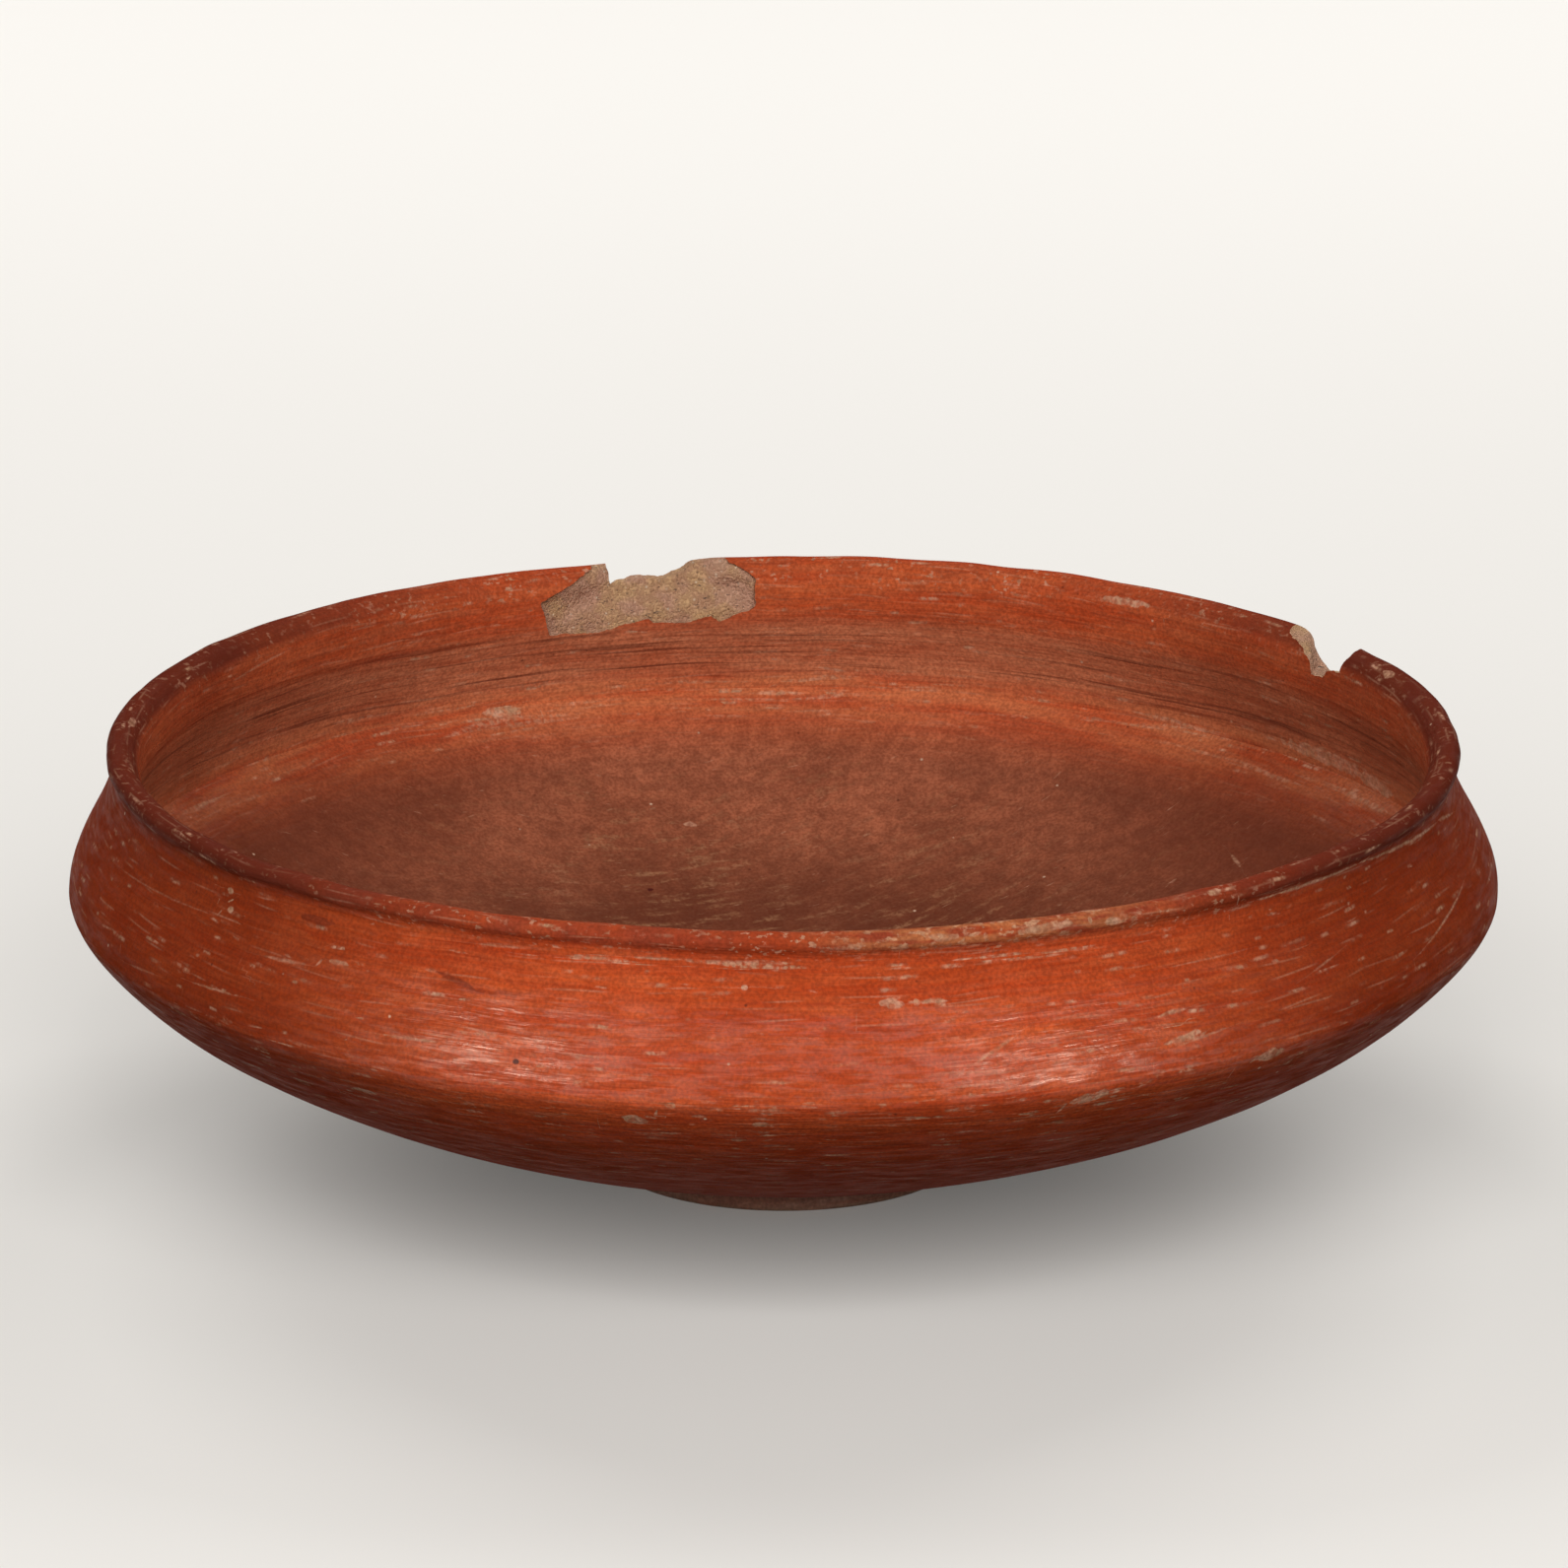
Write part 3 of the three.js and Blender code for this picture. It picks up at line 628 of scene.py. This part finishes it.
def spall_tool(name, arcs, heights, spall, notch):
    """The clay that a spall took off the inner face, with the notch right through the lip above it: over a
    grid of azimuth and height, the radius that the break reaches. Outlines are (azimuth from the back in
    degrees, height in mm)."""
    step = 0.28
    tool_back = 84.0
    air_gap = 0.8
    least_bite = 1.6
    right_through = 9
    face_heights, face_radii = (54.5, 56.4, 60, 63, 66), (96.7, 97.3, 97.4, 97.9, 98.7)
    arc, z = np.meshgrid(np.arange(arcs[0] * lip_arc, arcs[1] * lip_arc, step), np.arange(*heights, step),
                         indexing="ij")
    lumps, grit, ragged = np.zeros((3,) + arc.shape)
    for index in np.ndindex(arc.shape):
        spot = Vector((arc[index], z[index], 0.0))
        lumps[index] = noise.noise(spot / 3.4) + 0.5 * noise.noise(spot / 1.5)
        grit[index] = noise.noise(spot / 0.7)
        ragged[index] = noise.noise(spot / 2.1 + Vector((0, 0, 9.3)))
    # The inner face of both walls, without their seats, gives the radius at which a tool is still in the air.
    inner_wall = np.concatenate([shoulder_section[shoulder_inside:-8], rim_section[rim_inside:-6]])
    inner_wall = inner_wall[np.argsort(inner_wall[:, 1])]
    clear = np.interp(z, inner_wall[:, 1], inner_wall[:, 0]) - air_gap
    face = np.interp(z, face_heights, face_radii) + 0.22 * lumps + 0.12 * grit
    spall_depth, notch_depth = (depth_in([(a * lip_arc, h) for a, h in outline], arc, z)
                                for outline in (spall, notch))
    spall_depth = spall_depth + 0.25 * ragged + 0.15 * grit
    notch_depth = notch_depth + 0.3 * ragged + 0.12 * grit
    bite = least_bite + np.maximum(face - clear - least_bite, 0) * eased(spall_depth, -0.2, 5.0)
    reach = clear + bite * eased(spall_depth, -0.1, 0.3) + right_through * eased(notch_depth, -0.3, 0.6)
    tool = bmesh.new()
    layers = []
    for layer in (reach, np.full(arc.shape, tool_back)):
        spots = np.stack([layer * np.sin(arc / lip_radius), layer * np.cos(arc / lip_radius), z], -1) * MM
        layers.append([[tool.verts.new(spot) for spot in row] for row in spots])
    rows, columns = arc.shape
    for layer in layers:
        for i in range(rows - 1):
            for j in range(columns - 1):
                tool.faces.new((layer[i][j], layer[i + 1][j], layer[i + 1][j + 1], layer[i][j + 1]))
    border = ([(i, 0) for i in range(rows)] + [(rows - 1, j) for j in range(1, columns)]
              + [(i, columns - 1) for i in range(rows - 2, -1, -1)]
              + [(0, j) for j in range(columns - 2, 0, -1)])
    for (i, j), (k, l) in zip(border, border[1:] + border[:1]):
        tool.faces.new((layers[0][i][j], layers[0][k][l], layers[1][k][l], layers[1][i][j]))
    return tool_of(name, tool)


def nick_tool(name, inner, outer):
    """The clay that a nick took out of the whole lip, between its outlines on the inner and outer face."""
    tool_radii = np.arange(91.0, 105.0, 0.5)
    lip_width = 4.3
    points_a_side = 12
    coarse, fine = (0.35, 2.2), (0.18, 0.8)
    arc_shift, height_shift = Vector((0, 0, 0)), Vector((17.3, 5.1, 9.7))
    rings = []
    tool = bmesh.new()
    inner, outer = (np.array([(a * lip_arc, h) for a, h in outline]) for outline in (inner, outer))
    for radius in tool_radii:
        t = np.clip((radius - mouth_radius) / lip_width, -0.4, 1.4)
        outline = inner * (1 - t) + outer * t
        ring = []
        for start, end in zip(outline, np.roll(outline, -1, axis=0)):
            for s in np.arange(0, 1, 1 / points_a_side):
                arc, z = start * (1 - s) + end * s
                spot = Vector((arc, z, radius))
                arc, z = (value + coarse[0] * noise.noise(spot / coarse[1] + shift)
                          + fine[0] * noise.noise(spot / fine[1] + shift)
                          for value, shift in ((arc, arc_shift), (z, height_shift)))
                turn = arc / lip_radius
                corner = (radius * math.sin(turn) * MM, radius * math.cos(turn) * MM, z * MM)
                ring.append(tool.verts.new(corner))
        rings.append(ring)
    for one, two in zip(rings, rings[1:]):
        for i in range(len(one)):
            k = (i + 1) % len(one)
            tool.faces.new((one[i], one[k], two[k], two[i]))
    tool.faces.new(rings[0])
    tool.faces.new(rings[-1])
    return tool_of(name, tool)


# Both breaks are at the back: the long spall with its notch left of the middle, the deep nick right of it.
spall_break = spall_tool(
    "spall_break", (-27, -0.5), (52.5, 68.5),
    spall=[(-24.0, 61.4), (-22.8, 55.6), (-18.0, 55.1), (-15.4, 56.2), (-13.0, 57.05), (-12.6, 56.2),
           (-9.5, 55.9), (-7.0, 56.9), (-6.1, 55.85), (-4.3, 57.4), (-3.2, 57.7), (-2.7, 58.6),
           (-2.7, 63.2), (-3.4, 64.4), (-5.2, 65.6), (-5.2, 72.0), (-18.3, 72.0), (-18.3, 65.7)],
    notch=[(-17.0, 75), (-16.5, 65.2), (-16.33, 62.3), (-15.57, 63.0), (-13.23, 63.5), (-11.18, 63.15),
           (-9.6, 64.15), (-8.76, 65.6), (-7.0, 65.9), (-6.5, 75)])
nick_break = nick_tool(
    "nick_break",
    inner=[(52.5, 75), (54.2, 65.2), (56.9, 64.2), (58.3, 62.6), (58.5, 60.4), (60.3, 60.6), (61.4, 62.1),
           (63.4, 62.6), (63.7, 64.6), (64.2, 65.6), (65.4, 75)],
    outer=[(52.0, 75), (53.6, 65.8), (54.9, 64.7), (55.8, 63.1), (57.0, 61.5), (57.8, 60.2), (60.0, 60.0),
           (61.4, 60.9), (62.6, 63.0), (63.2, 65.0), (63.8, 75)])


def break_off(piece, tools):
    """Takes the tools' clay off a piece, and welds the slivers that this leaves."""
    for tool in tools:
        cut = piece.modifiers.new(tool.name, "BOOLEAN")
        cut.operation = "DIFFERENCE"
        cut.solver = "EXACT"
        cut.object = tool
        cut.material_mode = "TRANSFER"
    made_plain(piece)
    shell = bmesh.new()
    shell.from_mesh(piece.data)
    bmesh.ops.remove_doubles(shell, verts=shell.verts, dist=weld_gap)
    bmesh.ops.dissolve_degenerate(shell, edges=shell.edges, dist=weld_gap)
    while lone := [corner for corner in shell.verts if len(corner.link_edges) == 2]:
        bmesh.ops.dissolve_verts(shell, verts=lone)
    shell.to_mesh(piece.data)
    shell.free()


for piece in (shoulder, rim):
    break_off(piece, (spall_break, nick_break))
    piece.data.set_sharp_from_angle(angle=crease)
for tool in (spall_break, nick_break):
    bpy.data.objects.remove(tool)
survey(shoulder, shoulder_section, shoulder_inside, shoulder_marks)
survey(rim, rim_section, rim_inside, rim_marks)
for piece, cad_node, finish_slot in ((shoulder, "shoulder_wall", "shoulder_slip"),
                                     (rim, "rim_roll", "rim_slip")):
    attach(piece, "root")
    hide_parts(cad_node)

# Foot ring
# A low ring of clay luted under the base and left without slip or burnish, so it is dull and brown.
# Standing has rounded its lower edges and rubbed them pale.

foot_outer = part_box("foot_ring")[1].x / MM
foot_inner = foot_outer - 5.8
foot_edge = 1.0
foot_section = np.vstack([
    [(foot_outer, foot_height)],
    bend((foot_outer, foot_height), (foot_outer, foot_edge), step=0.5),
    bend((foot_outer, foot_edge), (foot_outer, 0), (foot_outer - foot_edge, 0), step=0.25),
    bend((foot_outer - foot_edge, 0), (foot_inner + foot_edge, 0), step=0.6),
    bend((foot_inner + foot_edge, 0), (foot_inner, 0), (foot_inner, foot_edge), step=0.25),
    bend((foot_inner, foot_edge), (foot_inner, foot_height), step=0.5),
    bend((foot_inner, foot_height), (foot_outer, foot_height), step=1.5)[:-1],
])

# Bare earthenware, wiped smooth when damp: dull red brown, paler where it has been rubbed on the table.
bare, tree = empty_finish("wiped_bare_earthenware")
object_place = add(tree, "ShaderNodeTexCoord").outputs["Object"]
place_mm = add(tree, "ShaderNodeVectorMath", {0: object_place, "Scale": 1 / MM}, operation="SCALE")
axes = add(tree, "ShaderNodeSeparateXYZ", {0: place_mm}).outputs
wiped = pattern(place_mm, 12, 0.8, 3.0, 0.36, 0.64)
mottle = pattern(place_mm, 4, 4, 3.0, 0.38, 0.62)
grain = pattern(place_mm, 0.5, 0.5, 2.0, 0.35, 0.65)
rubbed = band(axes["Z"], -2, -1, 0.2, 1.1)
clay = laid("#d2876a", ("#dda086", wiped), ("#b06c55", mottle, 0.5), ("#cda283", rubbed, mottle, 0.7),
            ("#5e3226", grain, 0.25))
roughness = add(tree, "ShaderNodeMapRange", {"Value": grain, 3: 0.72, 4: 0.88})
relief = add(tree, "ShaderNodeMath", {0: wiped, 1: 0.8, 2: grain}, operation="MULTIPLY_ADD")
bumped = add(tree, "ShaderNodeBump", {"Height": relief, "Strength": 1.0, "Distance": 0.00006})
finish = add(tree, "ShaderNodeBsdfPrincipled", {"Base Color": clay, "Roughness": roughness, "IOR": 1.5,
                                                "Normal": bumped})
add(tree, "ShaderNodeOutputMaterial", {"Surface": finish})

foot = turn_wall("foot_ring_clay", foot_section, bare)
foot.data.set_sharp_from_angle(angle=crease)
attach(foot, "root")
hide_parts("foot_ring")

# Studio
# A plain pale floor in a pale room. Two soft lamps in front and two behind light the clay and do not show in
# its gloss. Two small warm spot lamps in front show in the gloss alone.

floor_half = 4.0
floor_mesh = bpy.data.meshes.new("studio_floor")
floor_mesh.from_pydata([(-floor_half, -floor_half, 0), (floor_half, -floor_half, 0),
                        (floor_half, floor_half, 0), (-floor_half, floor_half, 0)], [], [(0, 1, 2, 3)])
floor = bpy.data.objects.new("studio_floor", floor_mesh)
bpy.context.scene.collection.objects.link(floor)

# Matt paper: pale to the camera and in the gloss, with a faint glow that leaves the bowl's shadow on it, and
# darker to the light that bounces off it, so that it throws little up on the belly.
paper_colour = "#dedbd6"
bounce_colour = "#504f4c"
paper_glow = 0.16
paper, tree = empty_finish("matt_pale_paper")
rays = add(tree, "ShaderNodeLightPath").outputs
seen = strongest((rays["Is Camera Ray"],), (rays["Is Transmission Ray"],), (rays["Is Glossy Ray"],))
sheet = laid(bounce_colour, (paper_colour, seen))
matt = add(tree, "ShaderNodeBsdfDiffuse", {"Color": sheet})
glow = add(tree, "ShaderNodeEmission",
           {"Color": linear(paper_colour), "Strength": strongest((seen, paper_glow))})
finish = add(tree, "ShaderNodeAddShader", {0: matt, 1: glow})
add(tree, "ShaderNodeOutputMaterial", {"Surface": finish})
floor_mesh.materials.append(paper)

lamp_distance = 1.5
aim_height = 0.05
soft_lamp_side = 0.8
gloss_lamp_radius = 0.04
gloss_cone = math.radians(4.6)
gloss_colour = "#ffdcc4"
# Each lamp: its kind, degrees to the right of the camera, degrees up, watts, and the (x, y) in metres that it
# is aimed at.
for name, kind, turn, rise, watts, aim in (
        ("left_lamp", "AREA", -17, 33, 11.8, (0, 0)), ("right_lamp", "AREA", 17, 33, 11.8, (0, 0)),
        ("left_back_lamp", "AREA", -150, 36, 9.0, (0, 0)), ("right_back_lamp", "AREA", 150, 36, 9.0, (0, 0)),
        ("left_gloss_spot", "SPOT", -44, 13, 54.0, (-0.036, -0.097)),
        ("right_gloss_spot", "SPOT", 40, 9, 52.0, (0.034, -0.098))):
    turn, rise = math.radians(turn), math.radians(rise)
    towards = Vector((math.sin(turn) * math.cos(rise), -math.cos(turn) * math.cos(rise), math.sin(rise)))
    lamp_data = bpy.data.lights.new(name, kind)
    lamp_data.energy = watts
    if kind == "AREA":
        lamp_data.size = soft_lamp_side
    else:
        lamp_data.color = linear(gloss_colour)[:3]
        lamp_data.shadow_soft_size = gloss_lamp_radius
        lamp_data.spot_size = gloss_cone
        lamp_data.spot_blend = 1.0
    lamp = bpy.data.objects.new(name, lamp_data)
    lamp.location = towards * lamp_distance
    lamp.rotation_euler = (lamp.location - Vector((*aim, aim_height))).to_track_quat("Z", "Y").to_euler()
    lamp.visible_diffuse = kind == "AREA"
    lamp.visible_glossy = kind == "SPOT"
    bpy.context.scene.collection.objects.link(lamp)

room_colour = "#e6e4e0"
room_light = 0.08
room = bpy.data.worlds.new("pale_room")
room.use_nodes = True
room.node_tree.nodes["Background"].inputs["Color"].default_value = linear(room_colour)
room.node_tree.nodes["Background"].inputs["Strength"].default_value = room_light
bpy.context.scene.world = room

# The camera stands at the photograph's angle, in metres and degrees.
camera_place = (0, -1.1647, 0.40641)
camera_pitch = 16.674
picture_side = 1591
focal_pixels = 8316.0
camera_data = bpy.data.cameras.new("camera")
camera_data.sensor_width = 36.0
camera_data.lens = focal_pixels / picture_side * camera_data.sensor_width
camera_data.clip_end = 50.0
camera = bpy.data.objects.new("camera", camera_data)
camera.location = camera_place
camera.rotation_euler = (math.radians(90 - camera_pitch), 0, 0)
bpy.context.scene.collection.objects.link(camera)
bpy.context.scene.camera = camera
bpy.context.scene.view_settings.view_transform = "Standard"

bpy.context.view_layer.update()
